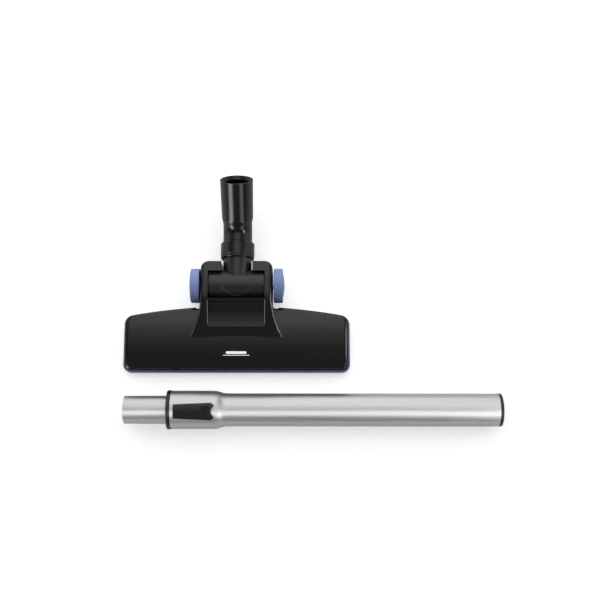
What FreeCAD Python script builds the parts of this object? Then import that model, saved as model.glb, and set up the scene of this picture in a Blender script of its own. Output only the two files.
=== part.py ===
import FreeCAD, Part
import math
import os

from FreeCAD import Placement, Rotation, Vector

os.makedirs("parts", exist_ok=True)

# Floor head and telescopic wand of a canister vacuum cleaner, in millimetres.
# The floor is z = 0, +X runs along the wand, +Y points to the back of the head and +Z up.
# The origin is the centre of the foot of the whole model's bounding box.

# ---- driving dimensions -------------------------------------------------------------------
SPIGOT_R = 16.0          # 32 mm vacuum tube standard
SPIGOT_LENGTH = 46.0
INNER_R = 15.75          # the inner tube behind its spigot
RUN_GAP = 0.06           # radial clearance of a running fit
SOCKET_GAP = 0.15        # radial clearance of the 32 mm sockets

# where the head's tilt axis and the wand lie on the floor
HEAD_X, HEAD_Y = -86.195, 18.92
WAND_TIP_X, WAND_Y = -212.845, -126.98

# floor head; x and y are counted from the tilt axis' middle, z from the floor
PIVOT_Z = 20.25          # height of the tilt axis and of the wheels
HEAD_HALF_W = 131.5
HEAD_FRONT = -99.9
HEAD_BACK_MID, HEAD_BACK_END = -23.5, -36.2
FRONT_CORNER_R, BACK_CORNER_R = 8.0, 11.0
COVER_BASE = 10.8
COVER_WALL = 2.2
CROWN_Z, CROWN_Y = 25.0, -50.0
CROWN_FRONT_DROP, CROWN_BACK_DROP, CROWN_SIDE_DROP = 7.0, 5.5, 2.0
COVER_EDGE_R = 6.0

HUMP_HALF_W, HUMP_BACK = 42.0, 27.6
HUMP_TOP, HUMP_CREST_Y, HUMP_REAR_TOP = 39.0, 4.0, 33.5
HUMP_CORNER_R, HUMP_EDGE_R = 9.5, 4.0
HUMP_TOE_Y, HUMP_TOE_HALF_W, HUMP_TOE_SINK = -68.5, 58.5, 0.1
HUMP_JOIN_Y = -10.0
WINDOW_HALF_W, WINDOW_FRONT, WINDOW_BACK = 33.0, -18.3, 14.6
WINDOW_RIM_Z = 28.0      # the window's front and rear walls end here, above the drum
NECK_SLOT_HALF_W = 18.5
NOTCH_IN, NOTCH_OUT, NOTCH_FRONT = 43.4, 49.0, -27.2
BUSH_R, SCREW_BOSS_R = 7.6, 3.8

FLOOR_Z, FLOOR_TOP = 3.0, 5.0
SOLE_Z = 1.6
DUCT_FLOOR, DUCT_TOP = 7.8, 18.5
MOUTH_HALF_W, MOUTH_FRONT, MOUTH_BACK = 110.0, -80.0, -64.0
GUARD_OUT = 1.3
FRONT_BRUSH_Y, REAR_BRUSH_Y = -90.8, -49.8
BRUSH_HALF_L = 116.0
SCREW_PLACES = [(119, -72), (75, -38), (-75, -38), (-119, -72)]

# drum and neck
DRUM_R, DRUM_HALF_L, DRUM_WALL = 18.6, 32.4, 2.3
DRUM_GAP, TROUGH_WALL = 0.4, 0.8
TRUNNION_R, TRUNNION_END = 6.0, 36.8
ELBOW_R, ELBOW_BORE_R, ELBOW_END = 16.8, 14.2, 38.0
COLLAR_START, COLLAR_END, COLLAR_R = 32.0, 51.3, 20.0
FLANGE_R, FLANGE_START, FLANGE_END = 18.4, 39.6, 45.7
NECK_R, NECK_BORE_R = 17.1, 14.0
BEND_START, BEND_R, BEND_ANGLE = 59.0, 28.0, 34.5
UPPER_LEG, SHOULDER_LENGTH, NECK_SHOULDER_R, MOUTH_R = 54.0, 9.0, 18.5, 19.4
SOCKET_DEPTH, LEAD_IN = 34.0, 4.0

# wheels
WHEEL_R, WHEEL_IN, WHEEL_OUT = 20.25, 43.5, 54.0
WHEEL_RECESS, WHEEL_CAP_OUT, WHEEL_CAP_R = 51.6, 56.0, 13.2
AXLE_R = 4.0

# wand; x is counted from the inner tube's free end, along the wand's own axis
RING_START, RING_END, RING_R = 49.2, 53.9, 22.3
SHOULDER_R, SHOULDER_END, TAPER_END = 21.8, 101.4, 118.9
TUBE_R, TUBE_WALL, TUBE_END, WAND_LENGTH = 18.8, 0.8, 427.9, 431.7
END_RING_R = 18.9
END_SLEEVE_START = 393.0
SLEEVE_START, SLEEVE_END = 55.2, 101.2
SPRING_START, SPRING_END = 88.9, 98.0
INNER_TUBE_LENGTH = 390.0
ROLLER_X, ROLLER_R, ROLLER_HALF_L = 80.0, 2.0, 3.5
ROLLER_LIFT = 0.35       # gap under the lifted roller
ROLLER_DROP = 1.4        # how far the roller falls into a catch
CATCH_PITCH, CATCH_COUNT = 25.0, 11
BUTTON_TRAVEL = 5.5
BUTTON_ROLL = 10.4       # degrees the button leans to the front
RIM_ROUND = 0.8


# ---- small builders -----------------------------------------------------------------------
def box(x0, x1, y0, y1, z0, z1):
    return Part.makeBox(x1 - x0, y1 - y0, z1 - z0, Vector(x0, y0, z0))


def cylinder(r, start, end, axis="x", y=0.0, z=0.0, x=0.0):
    """A round bar from start to end along axis; the other two coordinates place its centre."""
    base, direction = {
        "x": (Vector(start, y, z), Vector(1, 0, 0)),
        "y": (Vector(x, start, z), Vector(0, 1, 0)),
        "z": (Vector(x, y, start), Vector(0, 0, 1)),
    }[axis]
    return Part.makeCylinder(r, end - start, base, direction)


def tube(r_in, r_out, start, end, axis="x", **centre):
    return cylinder(r_out, start, end, axis, **centre).cut(
        cylinder(r_in, start - 1, end + 1, axis, **centre))


def face_of(edges):
    return Part.Face(Part.Wire(edges))


def lines(points, close=True):
    ends = points + points[:1] if close else points
    return [Part.LineSegment(a, b).toShape() for a, b in zip(ends, ends[1:])]


def smooth(points):
    curve = Part.BSplineCurve()
    curve.interpolate(points)
    return curve.toShape()


def arc(a, b, c):
    return Part.Arc(a, b, c).toShape()


def turned(profile, axis="x"):
    """Turn (position, radius) points about an axis through the origin."""
    along_x = axis == "x"
    points = [Vector(p, r, 0) if along_x else Vector(r, p, 0) for p, r in profile]
    direction = Vector(1, 0, 0) if along_x else Vector(0, 1, 0)
    return Part.Face(Part.makePolygon(points + points[:1])).revolve(Vector(0, 0, 0), direction, 360)


def moved(shape, x=0.0, y=0.0, z=0.0):
    copy = shape.copy()
    copy.translate(Vector(x, y, z))
    return copy


def mirrored(shape):
    return shape.mirror(Vector(0, 0, 0), Vector(1, 0, 0))


def both_sides(shape):
    return shape.fuse(mirrored(shape))


def fused(first, *others):
    return first.fuse(list(others)).removeSplitter()


def is_upright(edge):
    a, b = edge.Vertexes[0].Point, edge.Vertexes[-1].Point
    return math.hypot(a.x - b.x, a.y - b.y) < 0.01 and abs(a.z - b.z) > 0.1


def single(shape):
    """The one solid of a shape, free of its compound."""
    solids = shape.Solids
    assert len(solids) == 1, len(solids)
    return solids[0]


# ---- outer form of the head ----------------------------------------------------------------
def outline_prism(inset, z0, z1):
    """The head's plan, a straight front and one long arc for its back, drawn in by inset."""
    w = HEAD_HALF_W - inset
    front, mid, end = HEAD_FRONT + inset, HEAD_BACK_MID - inset, HEAD_BACK_END - inset
    corners = [Vector(-w, end, z0), Vector(-w, front, z0), Vector(w, front, z0), Vector(w, end, z0)]
    back = arc(corners[3], Vector(0, mid, z0), corners[0])
    prism = face_of(lines(corners, close=False) + [back]).extrude(Vector(0, 0, z1 - z0))
    upright = [e for e in prism.Edges if is_upright(e)]
    front_edges = [e for e in upright if e.Vertexes[0].Point.y < CROWN_Y]
    prism = prism.makeFillet(FRONT_CORNER_R - inset, front_edges)
    upright = [e for e in prism.Edges if is_upright(e)]
    back_edges = [e for e in upright
                  if abs(abs(e.Vertexes[0].Point.x) - w) < 0.01 and abs(e.Vertexes[0].Point.y - end) < 0.01]
    return prism.makeFillet(BACK_CORNER_R - inset, back_edges)


def crown_height(x, y):
    drop, reach = ((CROWN_FRONT_DROP, 45.0) if y < CROWN_Y else (CROWN_BACK_DROP, 26.0))
    return CROWN_Z - drop * ((y - CROWN_Y) / reach) ** 2 - CROWN_SIDE_DROP * (x / HEAD_HALF_W) ** 2


def body_form(inset):
    """The low, crowned body of the head."""
    rows = [[Vector(x, y, crown_height(x, y) - inset) for y in range(-120, 1, 10)]
            for x in range(-150, 151, 50)]
    crown = Part.BSplineSurface()
    crown.interpolate(rows)
    under_crown = crown.toShape().extrude(Vector(0, 0, -60))
    body = outline_prism(inset, -5, 60).common(under_crown)
    rim = [e for e in body.Edges if e.BoundBox.ZMin > 5 and not is_upright(e)]
    return single(body.makeFillet(COVER_EDGE_R - inset, rim))


def hump_top(y):
    """Side view of the hump: level over the drum, then one long sweep down to the body."""
    s = min(1.0, max(0.0, (HUMP_JOIN_Y - 2 - y) / (HUMP_JOIN_Y - 2 - HUMP_TOE_Y)))
    level = (1 - s * s) ** 2.5
    return HUMP_TOP * level + (crown_height(HUMP_TOE_HALF_W, y) - HUMP_TOE_SINK) * (1 - level)


def hump_half_width(y):
    """Plan view of the hump: straight beside the wheels, then flared towards its toe."""
    s = max(0.0, (WINDOW_FRONT - y) / (WINDOW_FRONT - HUMP_TOE_Y))
    return HUMP_HALF_W + (HUMP_TOE_HALF_W - HUMP_HALF_W) * s ** 1.8


def hump_section(y, inset):
    w, top = hump_half_width(y) - inset, hump_top(y) - inset
    r = HUMP_EDGE_R - inset
    bow = r * (1 - math.sqrt(0.5))
    p = {}
    for side in (-1, 1):
        p[side] = [Vector(side * w, y, -5), Vector(side * w, y, top - r),
                   Vector(side * (w - bow), y, top - bow), Vector(side * (w - r), y, top)]
    left, right = p[-1], p[1]
    return Part.Wire([
        Part.LineSegment(left[0], left[1]).toShape(), arc(left[1], left[2], left[3]),
        Part.LineSegment(left[3], right[3]).toShape(), arc(right[3], right[2], right[1]),
        Part.LineSegment(right[1], right[0]).toShape(), Part.LineSegment(right[0], left[0]).toShape()])


def hump_block(inset):
    """Rear of the hump: level over the drum, then falling in one arc to its back."""
    w, back = HUMP_HALF_W - inset, HUMP_BACK - inset
    reach, drop = HUMP_BACK - HUMP_CREST_Y, HUMP_TOP - HUMP_REAR_TOP
    fall_r = (reach ** 2 + drop ** 2) / (2 * drop)

    def top(y):
        rise = math.sqrt((fall_r - inset) ** 2 - (y - HUMP_CREST_Y) ** 2)
        return Vector(-w, y, HUMP_TOP - fall_r + rise)

    crest, rear_edge = top(HUMP_CREST_Y), top(back)
    level = [crest, Vector(-w, HUMP_JOIN_Y, crest.z), Vector(-w, HUMP_JOIN_Y, -5),
             Vector(-w, back, -5), rear_edge]
    fall = arc(rear_edge, top((HUMP_CREST_Y + back) / 2), crest)
    block = face_of(lines(level, close=False) + [fall]).extrude(Vector(2 * w, 0, 0))
    corners = [e for e in block.Edges if is_upright(e) and e.Vertexes[0].Point.y > 0]
    block = block.makeFillet(HUMP_CORNER_R - inset, corners)
    rim = [e for e in block.Edges if e.BoundBox.ZMin > 25
           and (e.BoundBox.XLength < w or e.BoundBox.YMin > back - 0.01)]
    return block.makeFillet(HUMP_EDGE_R - inset, rim)


def hump_form(inset):
    """The hump over the drum: a straight rear block and a swept, flared front."""
    stations = [HUMP_JOIN_Y - step for step in (0, 2, 5, 9, 14, 20, 26, 32, 38, 44, 50, 56)]
    front = Part.makeLoft([hump_section(y, inset) for y in stations], True, False)
    return hump_block(inset).fuse(front)


def saddle_cutter(inset):
    """Everything above the sunk saddle in front of the drum window."""
    floor = [(-21.6, 39.5), (-22.2, 36.4), (-24.0, 33.4), (-27.4, 31.3),
             (-32.0, 29.7), (-38.0, 28.6), (-43.0, 28.0), (-50.0, 27.7)]
    points = [Vector(-WINDOW_HALF_W - inset, y + inset, z - inset) for y, z in floor]
    high = [Vector(points[-1].x, points[-1].y, 60), Vector(points[0].x, points[0].y, 60)]
    edges = [smooth(points)] + lines([points[-1]] + high + [points[0]], close=False)
    return face_of(edges).extrude(Vector(2 * (WINDOW_HALF_W + inset), 0, 0))


def head_form(inset):
    return body_form(inset).fuse(hump_form(inset)).cut(saddle_cutter(inset))


def window_and_slot(grow, z0, z1):
    """The opening over the drum and the slot that the neck swings through."""
    window = box(-WINDOW_HALF_W - grow, WINDOW_HALF_W + grow, WINDOW_FRONT - grow,
                 WINDOW_BACK + grow, z0, z1)
    slot = box(-NECK_SLOT_HALF_W - grow, NECK_SLOT_HALF_W + grow, 0, HUMP_BACK + 5, z0, z1)
    return window.fuse(slot)


def wheel_notches(grow, z0, z1):
    """Small bites out of the back edge, in front of the wheels."""
    return both_sides(box(NOTCH_IN - grow, NOTCH_OUT + grow, NOTCH_FRONT - grow, 30, z0, z1))


# ---- fixed pieces of the head --------------------------------------------------------------
def drum_clearance():
    """The room the drum turns in."""
    end = DRUM_HALF_L + 0.5
    return cylinder(DRUM_R + DRUM_GAP, -end, end, z=PIVOT_Z)


def bush_way():
    """Round seat for a pivot bush, open downwards so the drum drops in."""
    return cylinder(BUSH_R, 30, 36, z=PIVOT_Z).fuse(box(30, 36, -BUSH_R, BUSH_R, 0, PIVOT_Z))


def top_cover():
    hollow = head_form(COVER_WALL)
    hollow = hollow.cut(window_and_slot(COVER_WALL, -10, 60)).cut(wheel_notches(COVER_WALL, -10, 60))
    below_rim = box(-WINDOW_HALF_W, WINDOW_HALF_W, WINDOW_FRONT - COVER_WALL - 0.1,
                    WINDOW_BACK + COVER_WALL + 0.1, -10, WINDOW_RIM_Z)
    axle_block = box(38.4, 45, -9, 9, 0, 33)
    hollow = hollow.fuse(below_rim).cut(both_sides(axle_block))
    for x, y in SCREW_PLACES:
        hollow = hollow.cut(cylinder(SCREW_BOSS_R, 0, 40, "z", x=x, y=y))
    cover = head_form(0).cut(hollow).cut(window_and_slot(0, -10, 60)).cut(wheel_notches(0, -10, 60))
    cover = cover.cut(box(-200, 200, -200, 200, -10, COVER_BASE)).cut(drum_clearance())
    for x, y in SCREW_PLACES:
        cover = cover.cut(cylinder(1.55, 0, 17, "z", x=x, y=y))
    axle_way = cylinder(AXLE_R + 0.1, 36, 50, z=PIVOT_Z)
    return cover.cut(both_sides(bush_way())).cut(both_sides(axle_way))


def hump_foot(inset, z0, z1):
    w, back = HUMP_HALF_W - inset, HUMP_BACK - inset
    foot = box(-w, w, -40, back, z0, z1)
    corners = [e for e in foot.Edges if is_upright(e) and e.Vertexes[0].Point.y > 0]
    return foot.makeFillet(HUMP_CORNER_R - inset, corners)


def lower_housing():
    """Tray under the cover, with the suction channel, the duct and the drum's trough."""
    wall = 2.0
    tray = outline_prism(2.0, FLOOR_Z, COVER_BASE).fuse(hump_foot(0, FLOOR_Z, COVER_BASE))
    inside = outline_prism(4.0, FLOOR_TOP, 20).fuse(hump_foot(COVER_WALL, FLOOR_TOP, 20))
    inside = inside.cut(window_and_slot(wall, 0, 30)).cut(wheel_notches(wall, 0, 30))
    tray = tray.cut(inside).cut(window_and_slot(0, 0, 30)).cut(wheel_notches(-0.4, 0, 30))
    tray = tray.cut(drum_clearance())
    front = MOUTH_FRONT - 4
    channel = box(-MOUTH_HALF_W - 4, MOUTH_HALF_W + 4, front, MOUTH_BACK + 4, FLOOR_TOP - 0.5, 14)
    duct = box(-32, 32, front + 2, WINDOW_FRONT - 1, FLOOR_TOP - 0.5, DUCT_TOP)
    trough_r = DRUM_R + DRUM_GAP
    trough = tube(trough_r, trough_r + TROUGH_WALL, -WINDOW_HALF_W, WINDOW_HALF_W, z=PIVOT_Z)
    trough = trough.common(box(-40, 40, -30, 7, 0, DUCT_TOP))
    saddles = both_sides(box(33, 35.2, -7.4, 7.4, FLOOR_Z, PIVOT_Z).cut(
        cylinder(BUSH_R, 30, 40, z=PIVOT_Z)))
    housing = tray.fuse([channel, duct, trough, saddles])
    channel_way = box(-MOUTH_HALF_W - 2, MOUTH_HALF_W + 2, front + 2, MOUTH_BACK + 2, FLOOR_TOP, 12)
    duct_way = box(-30, 30, front + 4, -12, DUCT_FLOOR, DUCT_TOP - 2)
    mouth = box(-MOUTH_HALF_W, MOUTH_HALF_W, MOUTH_FRONT, MOUTH_BACK, 0, FLOOR_TOP + 1)
    housing = housing.cut(channel_way).cut(duct_way).cut(mouth)
    for y in (FRONT_BRUSH_Y, REAR_BRUSH_Y):
        housing = housing.cut(box(-BRUSH_HALF_L, BRUSH_HALF_L, y - 2.3, y + 2.3, 0, FLOOR_TOP + 0.1))
        housing = housing.cut(box(-BRUSH_HALF_L - 1.2, BRUSH_HALF_L + 1.2, y - 3.8, y + 3.8,
                                  FLOOR_TOP, FLOOR_TOP + 1.4))
    for x, y in SCREW_PLACES:
        boss = cylinder(SCREW_BOSS_R, FLOOR_TOP - 0.5, COVER_BASE, "z", x=x, y=y)
        housing = housing.fuse(boss).cut(cylinder(1.9, 0, 20, "z", x=x, y=y))
    return housing.removeSplitter()


def sole_plate():
    """Pressed steel sole with the suction mouth and two runners that carry the front."""
    sole = outline_prism(6.0, SOLE_Z, FLOOR_Z)
    runner = box(121, 123.4, -90, -47, 0, SOLE_Z + 0.4)
    runner = runner.makeFillet(0.9, [e for e in runner.Edges if is_upright(e)])
    sole = sole.fuse([runner, mirrored(runner)])
    sole = sole.cut(box(-MOUTH_HALF_W, MOUTH_HALF_W, MOUTH_FRONT, MOUTH_BACK, 0, 5))
    for y in (FRONT_BRUSH_Y, REAR_BRUSH_Y):
        sole = sole.cut(box(-BRUSH_HALF_L - 0.5, BRUSH_HALF_L + 0.5, y - 2.6, y + 2.6, 0, 5))
    for x, y in SCREW_PLACES:
        sole = sole.cut(cylinder(3.3, 0, 5, "z", x=x, y=y))
    return sole


def furniture_guard():
    """Soft strip round the head, open behind the hump."""
    z0, z1 = 4.4, COVER_BASE - 0.2
    strip = outline_prism(-GUARD_OUT, z0, z1)
    strip = strip.makeFillet(0.5, [e for e in strip.Edges if e.BoundBox.ZMin > z1 - 0.01])
    return strip.cut(outline_prism(2.0, 0, 20)).cut(box(-49.3, 49.3, -60, 30, 0, 20))


def brush_holder(y):
    neck = box(-BRUSH_HALF_L + 0.2, BRUSH_HALF_L - 0.2, y - 2.2, y + 2.2, 1.2, FLOOR_TOP)
    flange = box(-BRUSH_HALF_L - 1, BRUSH_HALF_L + 1, y - 3.6, y + 3.6, FLOOR_TOP, FLOOR_TOP + 1.2)
    groove = box(-BRUSH_HALF_L + 1.5, BRUSH_HALF_L - 1.5, y - 1.3, y + 1.3, 0, 4.2)
    return fused(neck, flange).cut(groove)


def bristles(y):
    return box(-BRUSH_HALF_L + 1.6, BRUSH_HALF_L - 1.6, y - 1.2, y + 1.2, 0.4, 4.2)


def lint_strips():
    """Four velvet strips glued under the sole, beside the middle of the mouth."""
    strips = []
    for y in (MOUTH_FRONT - 4.8, MOUTH_BACK + 1.3):
        strips += [box(x, x + 48, y, y + 3.5, 0.5, SOLE_Z) for x in (-52, 4)]
    return Part.makeCompound(strips)


def housing_screws():
    screws = []
    for x, y in SCREW_PLACES:
        head = cylinder(3.0, 1.8, FLOOR_Z, "z", x=x, y=y)
        slots = box(x - 2, x + 2, y - 0.4, y + 0.4, 0, 2.5).fuse(box(x - 0.4, x + 0.4, y - 2, y + 2, 0, 2.5))
        screws.append(single(head.cut(slots).fuse(cylinder(1.5, FLOOR_Z, 15, "z", x=x, y=y))))
    return Part.makeCompound(screws)


def pivot_bush():
    sleeve = tube(TRUNNION_R + RUN_GAP, 7.5, 33.1, 36.7, z=PIVOT_Z)
    return fused(sleeve, tube(TRUNNION_R + RUN_GAP, 9.2, 35.3, 36.7, z=PIVOT_Z))


def wheel_axle():
    pin = cylinder(AXLE_R, 38.2, 53.4, z=PIVOT_Z).fuse(cylinder(6.0, 37.2, 38.3, z=PIVOT_Z))
    return pin.cut(tube(3.25, 6.0, 52.0, 52.8, z=PIVOT_Z)).removeSplitter()


def axle_clip():
    return tube(3.3, 6.2, 52.05, 52.75, z=PIVOT_Z)


def duct_seal():
    return box(-29.5, 29.5, -21.6, -19.1, DUCT_TOP, DUCT_TOP + 1.8)


# ---- neck ----------------------------------------------------------------------------------
def elbow():
    """Drum between the cheeks and the lower tube that leaves it to the back."""
    drum = cylinder(DRUM_R, -DRUM_HALF_L, DRUM_HALF_L, z=PIVOT_Z)
    ends = [e for e in drum.Edges if e.BoundBox.XLength < 0.01]
    drum = drum.makeFillet(0.6, ends)
    outer = drum.fuse([cylinder(TRUNNION_R, -TRUNNION_END, TRUNNION_END, z=PIVOT_Z),
                       cylinder(ELBOW_R, 0, ELBOW_END, "y", z=PIVOT_Z)])
    hollow_l = DRUM_HALF_L - DRUM_WALL
    hollow = cylinder(DRUM_R - DRUM_WALL, -hollow_l, hollow_l, z=PIVOT_Z)
    hollow = hollow.fuse(cylinder(ELBOW_BORE_R, 0, ELBOW_END + 1, "y", z=PIVOT_Z))
    inlet = box(-hollow_l, hollow_l, -DRUM_R - 2, 7, 0, DUCT_TOP - 2.5)
    trunnion_bore = both_sides(cylinder(3.5, 33.5, 40, z=PIVOT_Z))
    return outer.cut(hollow).cut(inlet).cut(trunnion_bore).cut(tongue_groove())


def tongue_groove():
    """Shallow groove around the tongue on top of the drum."""
    inner, outer, centre_y = 19.9, 20.7, 6.0
    front = tube(inner, outer, PIVOT_Z, 45, "z", y=centre_y).common(box(-30, 30, -30, centre_y, 0, 60))
    sides = both_sides(box(inner, outer, centre_y, 14, PIVOT_Z, 45))
    return front.fuse(sides).cut(cylinder(DRUM_R - 0.6, -40, 40, z=PIVOT_Z))


def elbow_half(side):
    half = box(0, 50, -50, 60, -10, 60) if side > 0 else box(-50, 0, -50, 60, -10, 60)
    return elbow().common(half)


def swivel_collar():
    """Collar glued on the elbow; its groove holds the flange of the neck tube."""
    start, end, r = COLLAR_START, COLLAR_END, COLLAR_R
    groove_start, groove_end, groove_r = FLANGE_START - 0.5, FLANGE_END + 0.5, FLANGE_R + 0.4
    seat_r, lip_r = ELBOW_R + 0.1, NECK_R + RUN_GAP
    profile = [(start, seat_r), (start, r - 1.1), (start + 0.9, r - 0.3), (start + 3.2, r - 0.3),
               (start + 3.6, r), (end - 1.0, r), (end, r - 0.8), (end, lip_r),
               (groove_end, lip_r), (groove_end, groove_r), (groove_start, groove_r), (groove_start, seat_r)]
    return moved(turned(profile, "y"), z=PIVOT_Z)


def swivel_seal():
    return tube(14.4, 16.6, ELBOW_END, FLANGE_START - 0.5, "y", z=PIVOT_Z)


def neck_path(along_bend, beyond=0.0):
    """Centre and direction of the bent neck, by angle round the bend and way up the upper leg."""
    a = math.radians(along_bend)
    direction = Vector(0, math.cos(a), math.sin(a))
    centre = Vector(0, BEND_START + BEND_R * math.sin(a), PIVOT_Z + BEND_R * (1 - math.cos(a)))
    return centre + direction * beyond, direction


def flared_bar(start, end, radii):
    """A round bar along Y whose radius runs smoothly through the four radii."""
    share = [(start, 0.0), (start, 0.4), (end, -0.4), (end, 0.0)]
    poles = [Vector(r, at + (end - start) * way, 0) for (at, way), r in zip(share, radii)]
    side = Part.BezierCurve()
    side.setPoles(poles)
    axis = [Vector(0, end, 0), Vector(0, start, 0)]
    edges = [side.toShape()] + lines([poles[-1]] + axis + [poles[0]], close=False)
    return face_of(edges).revolve(Vector(0, 0, 0), Vector(0, 1, 0), 360)


def neck_skin(r, shoulder_r, end_r, past_mouth):
    """Round bend and upper leg as one bar: a short shoulder, then a straight cone to the mouth."""
    section = Part.Face(Part.Wire(Part.makeCircle(r, neck_path(0)[0], Vector(0, 1, 0))))
    bend = section.revolve(Vector(0, BEND_START, PIVOT_Z + BEND_R), Vector(1, 0, 0), BEND_ANGLE)
    shoulder = flared_bar(0, SHOULDER_LENGTH, [r, r, shoulder_r, shoulder_r])
    cone = Part.makeCone(shoulder_r, end_r, UPPER_LEG + past_mouth - SHOULDER_LENGTH,
                         Vector(0, SHOULDER_LENGTH, 0), Vector(0, 1, 0))
    leg = shoulder.fuse(cone)
    leg.Placement = Placement(neck_path(BEND_ANGLE)[0], Rotation(Vector(1, 0, 0), BEND_ANGLE))
    return bend.fuse(leg)


def neck_tube():
    outer = cylinder(NECK_R, FLANGE_START, BEND_START, "y", z=PIVOT_Z).fuse(
        [cylinder(FLANGE_R, FLANGE_START, FLANGE_END, "y", z=PIVOT_Z),
         neck_skin(NECK_R, NECK_SHOULDER_R, MOUTH_R, 0)])
    outer = outer.cut(cylinder(NECK_BORE_R, FLANGE_START - 1, BEND_START, "y", z=PIVOT_Z))
    outer = outer.cut(neck_skin(NECK_BORE_R, SPIGOT_R - 0.9, SPIGOT_R - 0.8, 1))
    mouth, direction = neck_path(BEND_ANGLE, UPPER_LEG)
    socket_r = SPIGOT_R + SOCKET_GAP
    socket = Part.makeCylinder(socket_r, SOCKET_DEPTH + 1, mouth + direction, direction * -1)
    lead_in = Part.makeCone(MOUTH_R - 0.9, socket_r, LEAD_IN, mouth, direction * -1)
    return outer.cut(socket).cut(lead_in)


# ---- wheels --------------------------------------------------------------------------------
def wheel():
    bore = AXLE_R + RUN_GAP
    profile = [(WHEEL_IN, bore), (WHEEL_IN, 8), (46.2, 8), (46.2, 16.8), (WHEEL_IN, 16.8),
               (WHEEL_IN, WHEEL_R - 0.7), (WHEEL_IN + 0.7, WHEEL_R), (WHEEL_OUT - 1.0, WHEEL_R),
               (WHEEL_OUT - 0.3, WHEEL_R - 0.3), (WHEEL_OUT, WHEEL_R - 1.0), (WHEEL_OUT, WHEEL_CAP_R + 0.1),
               (WHEEL_RECESS, WHEEL_CAP_R + 0.1), (WHEEL_RECESS, bore)]
    return moved(turned(profile), z=PIVOT_Z)


def wheel_cap():
    """Domed cap pressed into the wheel's outer recess."""
    rise = WHEEL_CAP_OUT - WHEEL_OUT - 0.4
    dome_r = (WHEEL_CAP_R ** 2 + rise ** 2) / (2 * rise)
    centre = Vector(WHEEL_CAP_OUT - dome_r, 0, 0)
    dome = Part.makeSphere(dome_r, centre).rotated(centre, Vector(0, 0, 1), 180)
    cap = cylinder(WHEEL_CAP_R, WHEEL_RECESS, WHEEL_CAP_OUT + 1).common(dome)
    return moved(cap.cut(cylinder(WHEEL_CAP_R - 1.3, WHEEL_RECESS - 1, WHEEL_OUT - 0.1)), z=PIVOT_Z)


# ---- wand, along its own axis ----------------------------------------------------------------
def swaged_bar(drop):
    """The outer tube's form, drawn in by drop: wide round the lock, then a smooth taper."""
    wide, narrow = SHOULDER_R - drop, TUBE_R - drop
    ends = [Vector(SHOULDER_END, wide, 0), Vector(SHOULDER_END + 9, wide, 0),
            Vector(TAPER_END - 9, narrow, 0), Vector(TAPER_END, narrow, 0)]
    sweep = Part.BezierCurve()
    sweep.setPoles(ends)
    start, stop = RING_END - drop, TUBE_END + drop
    rest = [ends[-1], Vector(stop, narrow, 0), Vector(stop, 0, 0), Vector(start, 0, 0),
            Vector(start, wide, 0), ends[0]]
    edges = [sweep.toShape()] + lines(rest, close=False)
    return face_of(edges).revolve(Vector(0, 0, 0), Vector(1, 0, 0), 360)


def outer_tube():
    """Steel tube, swaged wider where it holds the lock, with the button's slot."""
    return swaged_bar(0).cut(swaged_bar(TUBE_WALL)).cut(box(62.5, 97, -4.6, 4.6, 5, 30))


def collar_ring():
    bore, sleeve_r = 16.4, SHOULDER_R - TUBE_WALL - 0.15
    ring = tube(bore, RING_R, RING_START, RING_END)
    ring = ring.makeFillet(RIM_ROUND, [e for e in ring.Edges if e.BoundBox.ZLength > 2 * RING_R - 0.1
                                       and e.BoundBox.XLength < 0.01])
    return fused(ring, tube(bore, sleeve_r, RING_END, SLEEVE_START - 0.1))


def guide_sleeve():
    """Plastic guide between the tubes, grooved for the button's feet, the spring and the roller."""
    sleeve = tube(INNER_R + RUN_GAP, SHOULDER_R - TUBE_WALL - 0.15, SLEEVE_START, SLEEVE_END)
    sleeve = sleeve.cut(box(62, SPRING_END + 0.3, -4.7, 4.7, 17.5, 30))
    return sleeve.cut(box(ROLLER_X - 2.45, ROLLER_X + 2.45, -3.95, 3.95, 10, 30))


def lock_button():
    """Saddle-shaped slider with a fishtail end, a thumb hollow and two feet below."""
    under, top = SHOULDER_R + 0.35, SHOULDER_R + 2.6
    plate = tube(under, top, 50, 110)
    x0, x1, x2 = 57.9, 100.4, 104.1
    corners = [Vector(x2, -7.1, 0), Vector(x1, -9.8, 0), Vector(x0, -8.0, 0),
               Vector(x0, 8.0, 0), Vector(x1, 9.8, 0), Vector(x2, 7.1, 0)]
    tail = arc(corners[-1], Vector(x1, 0, 0), corners[0])
    plan = face_of(lines(corners, close=False) + [tail]).extrude(Vector(0, 0, 40))
    plate = plate.common(plan)
    thumb = cylinder(16.0, -12, 12, "y", x=94.5, z=top + 14.9)
    plate = plate.cut(thumb.common(box(88.6, x2 + 1, -6.4, 6.4, 0, 60)))
    feet = [box(63, 71, -4.2, 4.2, 18.0, 22.6), box(86, 88.5, -4.2, 4.2, 18.0, 22.6),
            box(71, 86, -4.2, 4.2, 20.8, 22.6)]
    return fused(plate, *feet)


def button_spring():
    """Return spring between the button's rear foot and the end of the sleeve's groove."""
    turns, r, wire_r, start, end = 5, 1.15, 0.3, SPRING_START, SPRING_END
    helix = Part.makeHelix((end - start - 2 * wire_r) / turns, end - start - 2 * wire_r, r)
    section = Part.Wire(Part.makeCircle(wire_r, Vector(r, 0, 0), Vector(0, 1, 0)))
    coil = Part.Wire(helix.Edges).makePipeShell([section], True, True)
    coil.rotate(Vector(0, 0, 0), Vector(0, 1, 0), 90)
    return moved(coil, start + wire_r, 0, 19.2)


def roller_height():
    return INNER_R + ROLLER_R + ROLLER_LIFT


def lock_roller():
    bar = cylinder(ROLLER_R, -ROLLER_HALF_L, ROLLER_HALF_L, "y", x=ROLLER_X, z=roller_height())
    return bar.makeFillet(0.4, [e for e in bar.Edges if e.BoundBox.YLength < 0.01])


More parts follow.
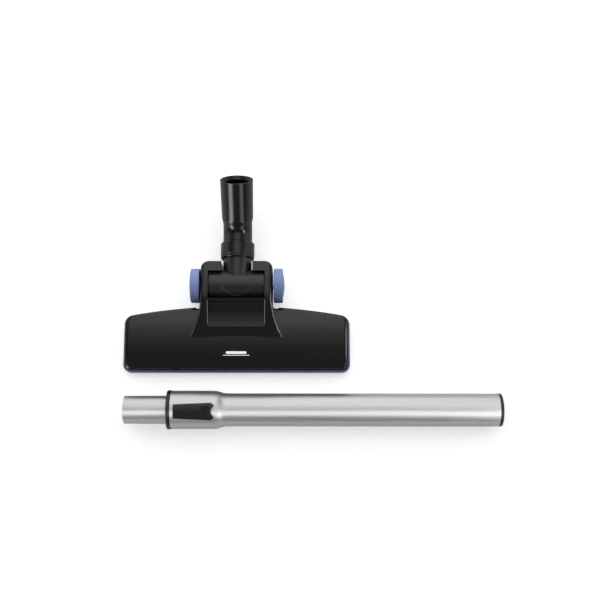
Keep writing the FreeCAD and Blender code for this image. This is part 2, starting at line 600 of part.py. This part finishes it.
def inner_tube():
    """Steel tube with a row of pressed catches that the roller drops into."""
    bore = INNER_R - TUBE_WALL
    body = turned([(0, bore), (0, SPIGOT_R - 0.3), (0.3, SPIGOT_R), (SPIGOT_LENGTH, SPIGOT_R),
                   (SPIGOT_LENGTH, INNER_R), (INNER_TUBE_LENGTH, INNER_R), (INNER_TUBE_LENGTH, bore)])
    core = cylinder(INNER_R - 0.1, 0, INNER_TUBE_LENGTH)
    low = roller_height() - ROLLER_DROP
    for i in range(CATCH_COUNT):
        x = ROLLER_X + i * CATCH_PITCH
        body = body.fuse(box(x - 4.0, x + 4.0, -5.0, 5.0, 13.4, 16.5).common(core))
        body = body.cut(cylinder(ROLLER_R + 0.35, -3.9, 3.9, "y", x=x, z=low))
    return body.removeSplitter()


def inner_guide_ring():
    bore = TUBE_R - TUBE_WALL
    return tube(INNER_R + 0.02, bore - RUN_GAP, INNER_TUBE_LENGTH - 12, INNER_TUBE_LENGTH)


def end_ring():
    bore = SPIGOT_R + SOCKET_GAP
    sleeve = tube(bore, TUBE_R - TUBE_WALL - 0.1, END_SLEEVE_START, TUBE_END)
    ring = tube(bore, END_RING_R, TUBE_END, WAND_LENGTH)
    ring = ring.makeFillet(0.6, [e for e in ring.Edges if e.BoundBox.ZLength > 2 * END_RING_R - 0.1
                                 and e.BoundBox.XLength < 0.01])
    lead_in = Part.makeCone(bore, bore + 1.0, 1.0, Vector(WAND_LENGTH - 1.0, 0, 0), Vector(1, 0, 0))
    return fused(sleeve, ring).cut(lead_in)


def wand_placement():
    """The wand lies on its collar ring and its end ring, so it slopes down a little to +X."""
    ring_edge, end_edge = RING_END - RIM_ROUND, WAND_LENGTH - 0.6
    slope = math.atan2(RING_R - END_RING_R, end_edge - ring_edge)
    height = ring_edge * math.sin(slope) + RING_R * math.cos(slope)
    turn = Rotation(Vector(0, 1, 0), math.degrees(slope)).multiply(Rotation(Vector(1, 0, 0), BUTTON_ROLL))
    return Placement(Vector(WAND_TIP_X, WAND_Y, height), turn)


# ---- the nodes -------------------------------------------------------------------------------
def head_nodes():
    return {
        "top_cover": top_cover(),
        "lower_housing": lower_housing(),
        "sole_plate": sole_plate(),
        "furniture_guard": furniture_guard(),
        "front_brush_holder": brush_holder(FRONT_BRUSH_Y),
        "rear_brush_holder": brush_holder(REAR_BRUSH_Y),
        "front_bristles": bristles(FRONT_BRUSH_Y),
        "rear_bristles": bristles(REAR_BRUSH_Y),
        "lint_strips": lint_strips(),
        "housing_screws": housing_screws(),
        "left_pivot_bush": mirrored(pivot_bush()),
        "right_pivot_bush": pivot_bush(),
        "left_wheel_axle": mirrored(wheel_axle()),
        "right_wheel_axle": wheel_axle(),
        "left_axle_clip": mirrored(axle_clip()),
        "right_axle_clip": axle_clip(),
        "duct_seal": duct_seal(),
        "left_elbow_half": elbow_half(-1),
        "right_elbow_half": elbow_half(1),
        "swivel_collar": swivel_collar(),
        "swivel_seal": swivel_seal(),
        "neck_tube": neck_tube(),
        "left_wheel": mirrored(wheel()),
        "right_wheel": wheel(),
        "left_wheel_cap": mirrored(wheel_cap()),
        "right_wheel_cap": wheel_cap(),
    }


def wand_nodes():
    return {
        "outer_tube": outer_tube(),
        "collar_ring": collar_ring(),
        "guide_sleeve": guide_sleeve(),
        "end_ring": end_ring(),
        "lock_button": lock_button(),
        "button_spring": button_spring(),
        "lock_roller": lock_roller(),
        "inner_tube": inner_tube(),
        "inner_guide_ring": inner_guide_ring(),
    }


def export(name, shape):
    for solid in shape.Solids:
        assert solid.isValid(), name
    shape = shape.Solids[0] if len(shape.Solids) == 1 else Part.makeCompound(shape.Solids)
    shape.exportStep(os.path.join("parts", name + ".step"))


for name, shape in head_nodes().items():
    export(name, moved(shape, HEAD_X, HEAD_Y))
for name, shape in wand_nodes().items():
    shape.Placement = wand_placement().multiply(shape.Placement)
    export(name, shape)
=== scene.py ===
import math
import random

import bpy
from mathutils import Matrix, Vector


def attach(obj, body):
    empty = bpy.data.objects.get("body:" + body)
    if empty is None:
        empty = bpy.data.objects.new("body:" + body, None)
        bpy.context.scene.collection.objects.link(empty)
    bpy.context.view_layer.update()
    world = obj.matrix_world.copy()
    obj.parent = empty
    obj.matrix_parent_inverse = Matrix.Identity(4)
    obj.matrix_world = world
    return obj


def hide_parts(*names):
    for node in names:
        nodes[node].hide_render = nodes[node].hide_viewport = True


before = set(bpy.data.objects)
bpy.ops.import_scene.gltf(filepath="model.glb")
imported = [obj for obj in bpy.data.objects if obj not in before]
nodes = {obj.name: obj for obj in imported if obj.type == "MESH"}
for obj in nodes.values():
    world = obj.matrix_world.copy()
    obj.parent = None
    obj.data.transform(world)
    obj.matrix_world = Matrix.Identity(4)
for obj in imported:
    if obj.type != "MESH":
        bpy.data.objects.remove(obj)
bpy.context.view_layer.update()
MM = 0.001
TURN = 2 * math.pi

# places of node outputs
GENERATED_COORDS, OBJECT_COORDS = 0, 3
CAMERA_RAY, GLOSSY_RAY = 0, 3
MIXED_NUMBER, MIXED_COLOUR = 0, 2
X_PART, Y_PART = 0, 1

# ---- camera: high above the floor, looking along +Y --------------------------------------------
AIM = Vector((-12.0, 6.22, 0)) * MM
ELEVATION, DISTANCE = math.radians(78), 1099.5 * MM
camera = bpy.data.objects.new("camera", bpy.data.cameras.new("camera"))
camera.data.lens, camera.data.sensor_width = 55, 36
camera.location = AIM + Vector((0, -math.cos(ELEVATION), math.sin(ELEVATION))) * DISTANCE
camera.rotation_euler = (math.pi / 2 - ELEVATION, 0, 0)
camera.data.clip_start, camera.data.clip_end = 0.01, 100
bpy.context.scene.collection.objects.link(camera)
bpy.context.scene.camera = camera
bpy.context.scene.view_settings.view_transform = "Standard"


# ---- node helpers ------------------------------------------------------------------------------
class Graph:
    """A node tree; sockets are set or linked by name, or by place as i0, i1 and so on."""

    def __init__(self, tree):
        self.tree = tree
        tree.nodes.clear()

    def add(self, kind, out=0, settings=None, **sockets):
        node = self.tree.nodes.new("ShaderNode" + kind)
        for key, value in (settings or {}).items():
            setattr(node, key, value)
        for key, value in sockets.items():
            self.put(node, key.replace("_", " "), value)
        return node.outputs[out] if node.outputs else node

    def put(self, node, key, value):
        by_place = key[0] == "i" and key[1:].isdigit()
        socket = node.inputs[int(key[1:]) if by_place else key]
        if isinstance(value, bpy.types.NodeSocket):
            self.tree.links.new(value, socket)
        else:
            socket.default_value = value


def new_material(name):
    material = bpy.data.materials.new(name)
    material.use_nodes = True
    return material, Graph(material.node_tree)


def noise(g, scale, detail=2.0, stretch=(1, 1, 1)):
    """Noise in object space; scale is in features per metre."""
    place = g.add("TexCoord", out=OBJECT_COORDS)
    mapped = g.add("Mapping", Vector=place, Scale=stretch)
    return g.add("TexNoise", Vector=mapped, Scale=scale, Detail=detail)


def spread(g, value, low, high):
    """The middle range of a noise, spread between low and high."""
    return g.add("MapRange", Value=value, From_Min=0.3, From_Max=0.7, To_Min=low, To_Max=high)


def smooth_step(g, value, start, end, low, high):
    """A number eased from low to high while value runs from start to end."""
    return g.add("MapRange", settings={"interpolation_type": "SMOOTHSTEP"}, Value=value,
                 From_Min=start, From_Max=end, To_Min=low, To_Max=high)


def calculate(g, operation, *values):
    return g.add("Math", settings={"operation": operation},
                 **{f"i{place}": value for place, value in enumerate(values)})


def choose(g, factor, at_zero, at_one):
    """A number that goes from at_zero to at_one with the factor."""
    return g.add("Mix", out=MIXED_NUMBER, settings={"data_type": "FLOAT"},
                 i0=factor, i2=at_zero, i3=at_one)


def shade_between(g, value, colour, dark, light):
    """A colour times dark where value is 0, and times light where it is 1."""
    low, high = ([c * level for c in colour] for level in (dark, light))
    return g.add("Mix", out=MIXED_COLOUR, settings={"data_type": "RGBA"},
                 i0=value, i6=(*low, 1), i7=(*high, 1))


def bumps(g, height, depth):
    """Fine relief from a noise; depth in millimetres."""
    return g.add("Bump", Height=height, Strength=0.3, Distance=depth * MM)


def finish_material(g, **sockets):
    shader = g.add("BsdfPrincipled", **sockets)
    g.add("OutputMaterial", Surface=shader)


def moulded(name, colour, rough, grain, grain_depth, coat=0.0):
    """Moulded plastic: soft colour drift, uneven gloss, and a grain in features per metre."""
    material, g = new_material(name)
    drift = spread(g, noise(g, 9, 3), 0, 1)
    colours = shade_between(g, drift, colour, 0.86, 1.12)
    gloss = spread(g, noise(g, 60, 4), rough * 0.9, rough * 1.1)
    normal = bumps(g, noise(g, grain, 3), grain_depth)
    finish_material(g, Base_Color=colours, Roughness=gloss, Normal=normal, IOR=1.5,
                    Coat_Weight=coat, Coat_Roughness=0.08)
    return material


def metal(name, colour, rough, stretch, line_depth):
    """Satin steel: fine brushed lines drawn out along the stretch's short axis."""
    material, g = new_material(name)
    lines = noise(g, 1, 4, stretch)
    streaks = shade_between(g, spread(g, lines, 0, 1), colour, 0.93, 1)
    gloss = spread(g, lines, rough * 0.85, rough * 1.15)
    normal = bumps(g, lines, line_depth)
    finish_material(g, Base_Color=streaks, Roughness=gloss, Normal=normal, Metallic=1.0)
    return material


def fibre(name, colour, sheen):
    """Soft fibre that differs in shade from strand to strand."""
    material, g = new_material(name)
    drift = spread(g, noise(g, 900, 2), 0, 1)
    colours = shade_between(g, drift, colour, 0.6, 1.3)
    finish_material(g, Base_Color=colours, Roughness=0.65, Sheen_Weight=sheen, Sheen_Roughness=0.4)
    return material


def ink(name, colour, glow=0.0):
    """Printed ink, slightly uneven; a little glow stands in for its bright white."""
    material, g = new_material(name)
    colours = shade_between(g, spread(g, noise(g, 700, 3), 0, 1), colour, 0.9, 1)
    finish_material(g, Base_Color=colours, Roughness=0.45, Emission_Color=(1, 1, 1, 1),
                    Emission_Strength=glow)
    return material


black_abs = moulded("black_abs", (0.0035, 0.0035, 0.004), 0.22, 2600, 0.004)
black_gloss = moulded("black_gloss", (0.003, 0.003, 0.0035), 0.23, 900, 0.0004)
drum_black = moulded("drum_black", (0.017, 0.017, 0.018), 0.32, 2600, 0.004)
black_matte = moulded("black_matte", (0.012, 0.012, 0.014), 0.5, 2600, 0.02)
button_black = moulded("button_black", (0.006, 0.006, 0.007), 0.36, 2600, 0.008)
ring_black = moulded("ring_black", (0.005, 0.005, 0.006), 0.30, 1800, 0.004)
natural_acetal = moulded("natural_acetal", (0.55, 0.55, 0.52), 0.45, 900, 0.004)
wheel_blue = moulded("wheel_blue", (0.235, 0.315, 0.63), 0.42, 1800, 0.008)
# The two lip finishes are light greys, not black: painted highlights for the edge beads, the
# second one dimmer.
lip_painted_highlight = moulded("lip_painted_highlight", (0.21, 0.21, 0.22), 0.25, 900, 0.0004)
lip_dim_painted_highlight = moulded("lip_dim_painted_highlight", (0.075, 0.075, 0.08), 0.25, 900, 0.0004)
strip_blue = moulded("strip_blue", (0.19, 0.26, 0.54), 0.5, 1800, 0.006)
seal_rubber = moulded("seal_rubber", (0.02, 0.02, 0.02), 0.7, 1500, 0.02)
tube_steel = metal("tube_steel", (0.57, 0.57, 0.58), 0.36, (6, 1800, 1800), 0.004)
sole_steel = metal("sole_steel", (0.62, 0.62, 0.63), 0.36, (10, 1500, 1500), 0.006)
screw_steel = metal("screw_steel", (0.5, 0.5, 0.5), 0.35, (900, 900, 900), 0.004)
nylon = fibre("nylon", (0.02, 0.02, 0.022), 0.2)
velvet = fibre("velvet", (0.30, 0.02, 0.02), 0.8)
white_ink = ink("white_ink", (0.93, 0.93, 0.93), 0.35)
button_ink = ink("button_ink", (0.03, 0.03, 0.032))

FINISH = {
    "top_cover": black_abs, "lower_housing": black_matte, "sole_plate": sole_steel,
    "furniture_guard": strip_blue,
    "front_brush_holder": black_matte, "rear_brush_holder": black_matte,
    "front_bristles": nylon, "rear_bristles": nylon, "lint_strips": velvet,
    "housing_screws": screw_steel,
    "left_pivot_bush": natural_acetal, "right_pivot_bush": natural_acetal,
    "left_wheel_axle": screw_steel, "right_wheel_axle": screw_steel,
    "left_axle_clip": screw_steel, "right_axle_clip": screw_steel, "duct_seal": seal_rubber,
    "left_elbow_half": drum_black, "right_elbow_half": drum_black, "swivel_collar": black_gloss,
    "swivel_seal": seal_rubber, "neck_tube": black_gloss,
    "left_wheel": wheel_blue, "right_wheel": wheel_blue,
    "left_wheel_cap": wheel_blue, "right_wheel_cap": wheel_blue,
    "outer_tube": tube_steel, "collar_ring": ring_black, "guide_sleeve": ring_black,
    "end_ring": ring_black, "lock_button": button_black, "button_spring": screw_steel,
    "lock_roller": screw_steel, "inner_tube": tube_steel, "inner_guide_ring": ring_black,
}
for name, node in nodes.items():
    node.data.materials.clear()
    node.data.materials.append(FINISH[name])

# ---- pieces the CAD only stands in for, in millimetres -----------------------------------------
# x and y on the head are counted from the middle of its tilt axis
HEAD_X, HEAD_Y = -86.195, 18.92

FRONT_BRUSH_Y, REAR_BRUSH_Y = -90.8, -49.8
ROW_HALF_L, TUFT_PITCH, TUFT_R, TUFT_FILAMENTS = 113.2, 2.63, 0.85, 14
TUFT_ROOT_Z, TUFT_TIP_Z = 4.2, (0.4, 0.8)
ROOT_SPREAD, TIP_SPREAD = 0.9, 1.25

STRIP_FRONTS, STRIP_LEFTS = (-84.8, -62.7), (-52, 4)
STRIP_LENGTH, STRIP_WIDTH = 48, 3.5
BACKING_TOP, BACKING_FOOT = 1.6, 1.25
NAP_FIBRES, NAP_ROOT_Z, NAP_TIP_Z = 1300, 1.3, (0.5, 0.7)
NAP_INSET, NAP_LEAN, NAP_SIDE_LEAN = 0.2, 0.15, 0.12
BOX_FACES = ((0, 1, 2, 3), (7, 6, 5, 4), (0, 4, 5, 1), (1, 5, 6, 2), (2, 6, 7, 3), (3, 7, 4, 0))

random.seed(7)


def new_piece(name, verts, faces, material, body, smooth=False):
    """A mesh from millimetre points in the shared frame, riding on a body."""
    mesh = bpy.data.meshes.new(name)
    mesh.from_pydata([Vector(v) * MM for v in verts], [], faces)
    mesh.materials.append(material)
    mesh.polygons.foreach_set("use_smooth", [smooth] * len(mesh.polygons))
    piece = bpy.data.objects.new(name, mesh)
    bpy.context.scene.collection.objects.link(piece)
    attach(piece, body)
    return piece


def add_filament(verts, faces, root, tip, r_root, r_tip):
    """One three-sided fibre from root to tip."""
    first = len(verts)
    turn = random.uniform(0, TURN)
    for centre, r in ((root, r_root), (tip, r_tip)):
        for corner in range(3):
            a = turn + corner * TURN / 3
            verts.append((centre[0] + r * math.cos(a), centre[1] + r * math.sin(a), centre[2]))
    for i in range(3):
        j = (i + 1) % 3
        faces.append((first + i, first + j, first + 3 + j, first + 3 + i))
    faces.append((first + 5, first + 4, first + 3))
    faces.append((first, first + 1, first + 2))


def brush_row(name, row_y):
    """A row of bristle tufts, each a bundle of filaments that spreads towards the floor."""
    verts, faces = [], []
    x = -ROW_HALF_L
    while x <= ROW_HALF_L:
        for _ in range(TUFT_FILAMENTS):
            a, out = random.uniform(0, TURN), TUFT_R * math.sqrt(random.random())
            dx, dy = out * math.cos(a), out * math.sin(a)
            root = (HEAD_X + x + dx * ROOT_SPREAD, HEAD_Y + row_y + dy * ROOT_SPREAD, TUFT_ROOT_Z)
            tip = (HEAD_X + x + dx * TIP_SPREAD, HEAD_Y + row_y + dy * TIP_SPREAD,
                   random.uniform(*TUFT_TIP_Z))
            add_filament(verts, faces, root, tip, r_root=0.13, r_tip=0.09)
        x += TUFT_PITCH
    return new_piece(name, verts, faces, nylon, "floor_head")


def velvet_strips():
    """Backing and short leaning nap of the four lint strips."""
    verts, faces = [], []
    for y in STRIP_FRONTS:
        for x in STRIP_LEFTS:
            x0, x1 = HEAD_X + x, HEAD_X + x + STRIP_LENGTH
            y0, y1 = HEAD_Y + y, HEAD_Y + y + STRIP_WIDTH
            first = len(verts)
            for z in (BACKING_TOP, BACKING_FOOT):
                verts += [(x0, y0, z), (x1, y0, z), (x1, y1, z), (x0, y1, z)]
            for quad in BOX_FACES:
                faces.append(tuple(first + i for i in quad))
            for _ in range(NAP_FIBRES):
                fx = random.uniform(x0 + NAP_INSET, x1 - NAP_INSET)
                fy = random.uniform(y0 + NAP_INSET, y1 - NAP_INSET)
                lean = random.uniform(-NAP_SIDE_LEAN, NAP_SIDE_LEAN)
                tip = (fx + lean, fy - NAP_LEAN, random.uniform(*NAP_TIP_Z))
                add_filament(verts, faces, (fx, fy, NAP_ROOT_Z), tip, r_root=0.07, r_tip=0.05)
    return new_piece("velvet_nap", verts, faces, velvet, "floor_head")


for node_name, slot_name, piece in (
        ("front_bristles", "bristle", brush_row("front_tufts", FRONT_BRUSH_Y)),
        ("rear_bristles", "bristle", brush_row("rear_tufts", REAR_BRUSH_Y)),
        ("lint_strips", "lint_velvet", velvet_strips())):
    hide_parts(node_name)


# ---- rounded lips: fine beads along edges, in grey as a painted highlight of the light they catch ---
HEAD_HALF_W, PIVOT_Z, SURFACE_R = 131.5, 20.25, 18.55
CROWN_Z, CROWN_Y, CROWN_RUN = 25.0, -50.0, 45.0
CROWN_FRONT_DROP, CROWN_SIDE_DROP = 7.0, 2.0
HUMP_TOP, HUMP_HALF_W, HUMP_SWEEP_Y, HUMP_FLARE_Y = 39.0, 42.0, -12.0, -18.3
HUMP_TOE_Y, HUMP_TOE_HALF_W, HUMP_TOE_SINK = -68.5, 58.5, 0.1
TONGUE_R, TONGUE_MIDDLE_Y, TONGUE_BACK_Y = 20.1, 6.0, 12.5
LEG_POINTS, LEG_STEP, ARC_STEPS = 5, 1.3, 40
SADDLE_EDGE_X, SADDLE_EDGE_Y = 33.15, range(-20, -49, -1)
FLARE_START_Y, FLARE_STEP, FLARE_POINTS, FLARE_INSET = -22.5, 1.62, 26, 1.5
LIP_SINK, FLARE_SINK = 0.1, 0.95     # how far a bead's middle lies under the surface


def bead(name, path, r, material, body, sides=8):
    """A round bead swept along a path, thinning out at both ends."""
    verts, faces, last = [], [], len(path) - 1
    for i, point in enumerate(path):
        along = (Vector(path[min(i + 1, last)]) - Vector(path[max(i - 1, 0)])).normalized()
        across = along.cross(Vector((0, 0, 1))).normalized()
        up = across.cross(along)
        size = r * min(1.0, 0.25 + min(i, last - i) * 0.4)
        for k in range(sides):
            a = TURN * k / sides
            verts.append(Vector(point) + (across * math.cos(a) + up * math.sin(a)) * size)
    for i in range(last):
        for k in range(sides):
            a, b = i * sides + k, i * sides + (k + 1) % sides
            faces.append((a, a + sides, b + sides, b))
    faces.append(tuple(range(sides)))
    faces.append(tuple(range(last * sides + sides - 1, last * sides - 1, -1)))
    return new_piece(name, verts, faces, material, body, smooth=True)


def tongue_path():
    """The U-shaped parting round the tongue, wrapped over the drum."""
    legs = [TONGUE_BACK_Y - LEG_STEP * i for i in range(LEG_POINTS)]
    plan = [(TONGUE_R, y) for y in legs]
    plan += [(TONGUE_R * math.cos(a), TONGUE_MIDDLE_Y - TONGUE_R * math.sin(a))
             for a in (math.pi * i / ARC_STEPS for i in range(ARC_STEPS + 1))]
    plan += [(-TONGUE_R, y) for y in reversed(legs)]
    return [(HEAD_X + x, HEAD_Y + y, PIVOT_Z + math.sqrt(SURFACE_R ** 2 - y ** 2))
            for x, y in plan]


def crown(x, y):
    """Height of the cover's crowned top in front of its ridge."""
    return (CROWN_Z - CROWN_FRONT_DROP * ((y - CROWN_Y) / CROWN_RUN) ** 2
            - CROWN_SIDE_DROP * (x / HEAD_HALF_W) ** 2)


def hump_top(y):
    """Side view of the hump's sweep down to the crown."""
    way = min(1.0, max(0.0, (HUMP_SWEEP_Y - y) / (HUMP_SWEEP_Y - HUMP_TOE_Y)))
    level = (1 - way * way) ** 2.5
    return HUMP_TOP * level + (crown(HUMP_TOE_HALF_W, y) - HUMP_TOE_SINK) * (1 - level)


def saddle_lip(side):
    """Along the upper edge of the sunk saddle, where the hump's top meets the saddle's side."""
    return [(HEAD_X + side * SADDLE_EDGE_X, HEAD_Y + y, hump_top(y) - LIP_SINK)
            for y in SADDLE_EDGE_Y]


def flare_lip(side):
    """Foot of the hump's flared side, where it runs out over the cover."""
    path = []
    for i in range(FLARE_POINTS):
        y = FLARE_START_Y - FLARE_STEP * i
        way = (HUMP_FLARE_Y - y) / (HUMP_FLARE_Y - HUMP_TOE_Y)
        x = HUMP_HALF_W + (HUMP_TOE_HALF_W - HUMP_HALF_W) * way ** 1.8 - FLARE_INSET
        path.append((HEAD_X + side * x, HEAD_Y + y,
                     max(hump_top(y) - FLARE_SINK, crown(x, y) - LIP_SINK)))
    return path


# The beads are real rounded edges; their grey is a painted highlight, dimmer on the tongue line
# and the left flare.
bead("tongue_line", tongue_path(), 0.36, lip_dim_painted_highlight, "neck_elbow")
for side, hand, flare_painted_highlight in ((-1, "left", lip_dim_painted_highlight), (1, "right", lip_painted_highlight)):
    bead(hand + "_saddle_lip", saddle_lip(side), 0.5, lip_painted_highlight, "floor_head")
    bead(hand + "_flare_lip", flare_lip(side), 0.55, flare_painted_highlight, "floor_head")


# ---- printed marks: plain bars in the place of the photo's marks -------------------------------
COVER_MARK_Y = -81.0
WAND_TIP_X, WAND_Y = -212.845, -126.98
WAND_RING_X, WAND_RING_R, WAND_RING_RISE, WAND_REST_SPAN = 53.1, 22.3, 3.4, 378.0
BUTTON_MARK_X, BUTTON_SURFACE_R, BUTTON_ROLL = 74.4, 24.4, math.radians(10.4)


def capsule(length, width, steps=14):
    """Outline of a round-ended bar."""
    r, half = width / 2, (length - width) / 2
    points = []
    for end, start in ((half, -90), (-half, 90)):
        for i in range(steps + 1):
            a = math.radians(start + 180 * i / steps)
            points.append((end + r * math.cos(a), r * math.sin(a)))
    return points


def printed(name, outlines, surface, material, body, rise=0.06, sink=0.25):
    """Flat marks laid on a surface given as a function of two plan coordinates and a lift."""
    verts, faces = [], []
    for outline in outlines:
        first, n = len(verts), len(outline)
        for lift in (rise, -sink):
            verts += [surface(u, v, lift) for u, v in outline]
        faces.append(tuple(range(first, first + n)))
        faces += [(first + i, first + n + i, first + n + (i + 1) % n, first + (i + 1) % n)
                  for i in range(n)]
        faces.append(tuple(range(first + 2 * n - 1, first + n - 1, -1)))
    return new_piece(name, verts, faces, material, body)


def on_cover(u, v, lift):
    x, y = u, v + COVER_MARK_Y
    return (HEAD_X + x, HEAD_Y + y, crown(x, y) + lift)


# the wand rests on its collar ring and on its far end, so it slopes a little
wand_slope = math.atan2(WAND_RING_RISE, WAND_REST_SPAN)
wand_tip_z = WAND_RING_X * math.sin(wand_slope) + WAND_RING_R * math.cos(wand_slope)
wand = (Matrix.Translation((WAND_TIP_X, WAND_Y, wand_tip_z))
        @ Matrix.Rotation(wand_slope, 4, "Y") @ Matrix.Rotation(BUTTON_ROLL, 4, "X"))


def on_button(u, v, lift):
    r = BUTTON_SURFACE_R + lift
    return tuple(wand @ Vector((BUTTON_MARK_X + u, v, math.sqrt(r * r - v * v))))


def offset(outline, du, dv):
    return [(u + du, v + dv) for u, v in outline]


printed("cover_mark", [offset(capsule(24, 3.0), 0, 1.2), offset(capsule(31, 0.7), 0, -1.8)],
        on_cover, white_ink, "floor_head")
printed("button_mark", [capsule(3.4, 0.9), offset(capsule(0.9, 0.88), 0, 1.2)],
        on_button, button_ink, "wand_button")

# ---- floor and lights, in metres ---------------------------------------------------------------
FLOOR_HALF = 6.0
FLOOR_LIFT = 0.5     # glow that lifts the floor to the photograph's white where the camera sees it
floor_mesh = bpy.data.meshes.new("floor")
floor_mesh.from_pydata([(x * FLOOR_HALF, y * FLOOR_HALF, 0)
                        for x, y in ((-1, -1), (1, -1), (1, 1), (-1, 1))], [], [(0, 1, 2, 3)])
floor = bpy.data.objects.new("floor", floor_mesh)
bpy.context.scene.collection.objects.link(floor)
paper, g = new_material("paper")
finish_material(g, Base_Color=(0.86, 0.86, 0.86, 1), Roughness=0.9, Emission_Color=(1, 1, 1, 1),
                Emission_Strength=calculate(g, "MULTIPLY", g.add("LightPath", out=CAMERA_RAY),
                                            FLOOR_LIFT))
floor.data.materials.append(paper)

world = bpy.data.worlds.new("studio")
bpy.context.scene.world = world
world.use_nodes = True
g = Graph(world.node_tree)
# The studio is bright at the back and dim in front. Reflections also see it darker between
# the middle and the sides, and the camera sees plain white.
direction = g.add("TexCoord", out=GENERATED_COORDS)
towards_back = g.add("SeparateXYZ", out=Y_PART, Vector=direction)
back_ramp = smooth_step(g, towards_back, -0.3, 0.5, 0.22, 1.35)
sideways = calculate(g, "ABSOLUTE", g.add("SeparateXYZ", out=X_PART, Vector=direction))
middle = smooth_step(g, sideways, 0.2, 0.5, 1.0, 0.25)
sides = smooth_step(g, sideways, 0.75, 1.0, 0.0, 0.7)
reflected = calculate(g, "MULTIPLY", back_ramp, calculate(g, "ADD", middle, sides))
unseen = choose(g, g.add("LightPath", out=GLOSSY_RAY), back_ramp, reflected)
strength = choose(g, g.add("LightPath", out=CAMERA_RAY), unseen, 1.0)
g.add("OutputWorld", Surface=g.add("Background", Color=(1, 1, 1, 1), Strength=strength))


def soft_box(name, place, target, size, power, only=()):
    """A rectangular light for reflections alone; given only, it lights just those nodes."""
    light = bpy.data.lights.new(name, "AREA")
    light.shape, light.size, light.size_y, light.energy = "RECTANGLE", size[0], size[1], power
    lamp = bpy.data.objects.new(name, light)
    lamp.location = place
    lamp.rotation_euler = (Vector(target) - Vector(place)).to_track_quat("-Z", "Y").to_euler()
    lamp.visible_diffuse = False
    bpy.context.scene.collection.objects.link(lamp)
    if only:
        lit = bpy.data.collections.new(name + "_lit")
        for piece in only:
            lit.objects.link(nodes[piece])
        lamp.light_linking.receiver_collection = lit


head = (-0.087, 0.02, 0.02)
neck = (-0.087, 0.12, 0.05)
wand_middle = (0.0, -0.127, 0.03)
soft_box("front_left", (-1.08, -0.93, 0.50), neck, (0.55, 1.0), 11)
soft_box("front_right", (0.77, -0.98, 0.62), neck, (0.50, 1.0), 3.5)
soft_box("right_strip", (0.85, -0.08, 0.68), head, (0.53, 0.16), 3.4)
soft_box("wand_strip", (0.0, -0.85, 1.35), wand_middle, (3.0, 0.9), 12,
         only=("outer_tube", "inner_tube", "collar_ring", "end_ring"))
